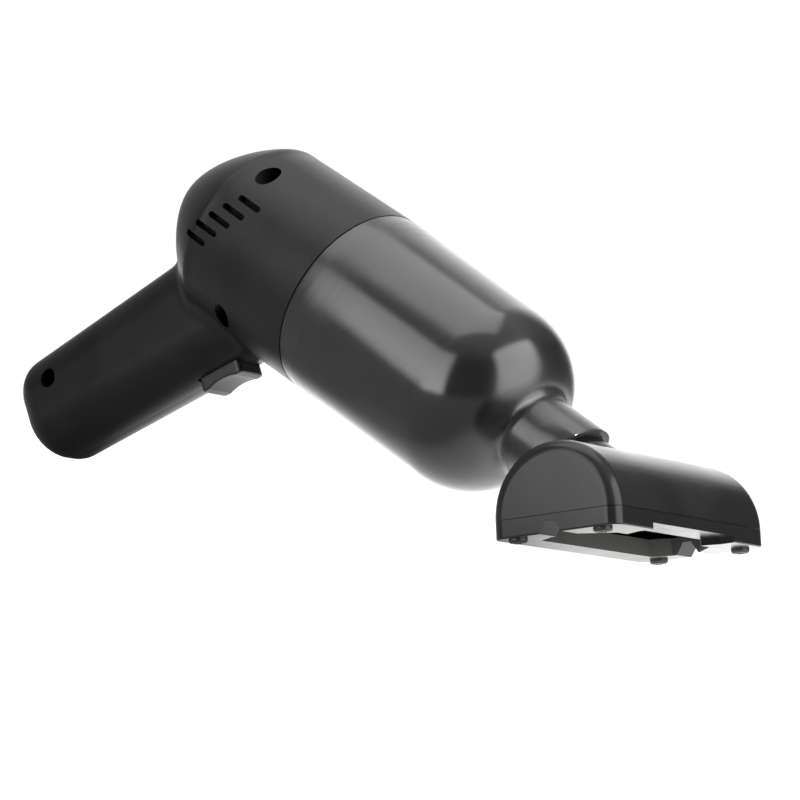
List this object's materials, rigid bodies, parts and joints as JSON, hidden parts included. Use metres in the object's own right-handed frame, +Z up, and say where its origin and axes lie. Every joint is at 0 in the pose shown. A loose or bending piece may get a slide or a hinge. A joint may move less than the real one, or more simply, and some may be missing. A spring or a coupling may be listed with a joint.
{
  "type": "handheld vacuum cleaner",
  "caption": "Cordless handheld vacuum cleaner with a pistol grip, smoky see-through dust cup, pleated filter, fan motor, sprung trigger and a turning D-shaped floor nozzle.",
  "frame": {"origin": "on the floor under the middle of the overall box, with the cleaner standing on the rear edge of the nozzle's sole and on the end of the grip", "axes": "+X forwards from grip to nozzle, +Y to the user's left, +Z up"},
  "size_m": [0.3244, 0.1044, 0.1367],
  "materials": {
    "housing": "fine matte black moulding",
    "collar": "satin black",
    "smoky_cup": "smoky see-through, polished",
    "nozzle": "satin to gloss black",
    "trigger": "matte black",
    "seal_rubber": "matt rubber",
    "filter_frame": "satin dark grey",
    "filter_paper": "pleated filter cloth",
    "inner_plastic": "plain grey moulding",
    "fan_plastic": "plain grey moulding",
    "motor_steel": "zinc plated",
    "motor_cap": "moulded",
    "brass": "plain",
    "bearing_bronze": "sintered",
    "magnet": "ferrite",
    "rotor_copper": "enamelled windings on a laminated core",
    "shaft_steel": "ground",
    "bright_screw": "zinc plated",
    "dark_screw": "black oxide",
    "spring_steel": "bright wire",
    "foam": "open foam",
    "cell_wrap": "film wrap over a metal can",
    "nickel": "nickel strip",
    "board_green": "solder mask",
    "component": "moulded",
    "light_pipe": "clear",
    "wire_red": "insulated lead",
    "wire_black": "insulated lead"
  },
  "bodies": {
    "main_body": {"housing_right": "housing", "housing_left": "housing", "housing_screws": "dark_screw", "front_collar": "collar", "collar_seal": "seal_rubber", "fan_shroud": "inner_plastic", "motor_mount": "inner_plastic", "motor_screws": "bright_screw", "motor_can": "motor_steel", "motor_end_cap": "motor_cap", "motor_terminals": "brass", "motor_bushes": "bearing_bronze", "motor_magnets": "magnet", "exhaust_foam": "foam", "battery_cell_1": "cell_wrap", "battery_cell_2": "cell_wrap", "battery_strips": "nickel", "battery_holder_top": "inner_plastic", "battery_holder_bottom": "inner_plastic", "circuit_board": "board_green", "board_parts": "component", "charge_socket": "component", "charge_light": "light_pipe", "micro_switch": "component", "trigger_spring": "spring_steel", "wire_red": "wire_red", "wire_black": "wire_black"},
    "fan": {"motor_shaft": "shaft_steel", "motor_rotor": "rotor_copper", "impeller": "fan_plastic", "fan_nut": "bright_screw"},
    "cup": {"dust_cup": "smoky_cup"},
    "filter": {"filter_frame": "filter_frame", "filter_pleats": "filter_paper", "filter_cap": "filter_frame", "filter_seal": "seal_rubber"},
    "nozzle_ring": {"spigot_ring": "seal_rubber"},
    "nozzle": {"nozzle_body": "nozzle", "nozzle_base": "nozzle", "nozzle_screws": "dark_screw"},
    "trigger": {"power_trigger": "trigger"}
  },
  "joints": [
    {"name": "fan_spin", "type": "hinge", "parent": "main_body", "child": "fan", "pos_m": [-0.04176, 0, 0.09445], "axis": [0.9219, 0, -0.3874], "continuous": true},
    {"name": "cup_pull", "type": "slide", "parent": "main_body", "child": "cup", "axis": [0.9219, 0, -0.3874], "range_m": [0, 0.07]},
    {"name": "filter_pull", "type": "slide", "parent": "main_body", "child": "filter", "axis": [0.9219, 0, -0.3874], "range_m": [0, 0.02]},
    {"name": "nozzle_pull", "type": "slide", "parent": "cup", "child": "nozzle_ring", "axis": [0.9219, 0, -0.3874], "range_m": [0, 0.018]},
    {"name": "nozzle_turn", "type": "hinge", "parent": "nozzle_ring", "child": "nozzle", "pos_m": [0.09099, 0, 0.03866], "axis": [0.9219, 0, -0.3874], "continuous": true},
    {"name": "trigger_press", "type": "slide", "parent": "main_body", "child": "trigger", "axis": [-0.5171, 0, 0.8559], "range_m": [0, 0.0032], "stiffness_N_per_m": 400, "springref_m": -0.002, "deforming": ["trigger_spring"]}
  ]
}
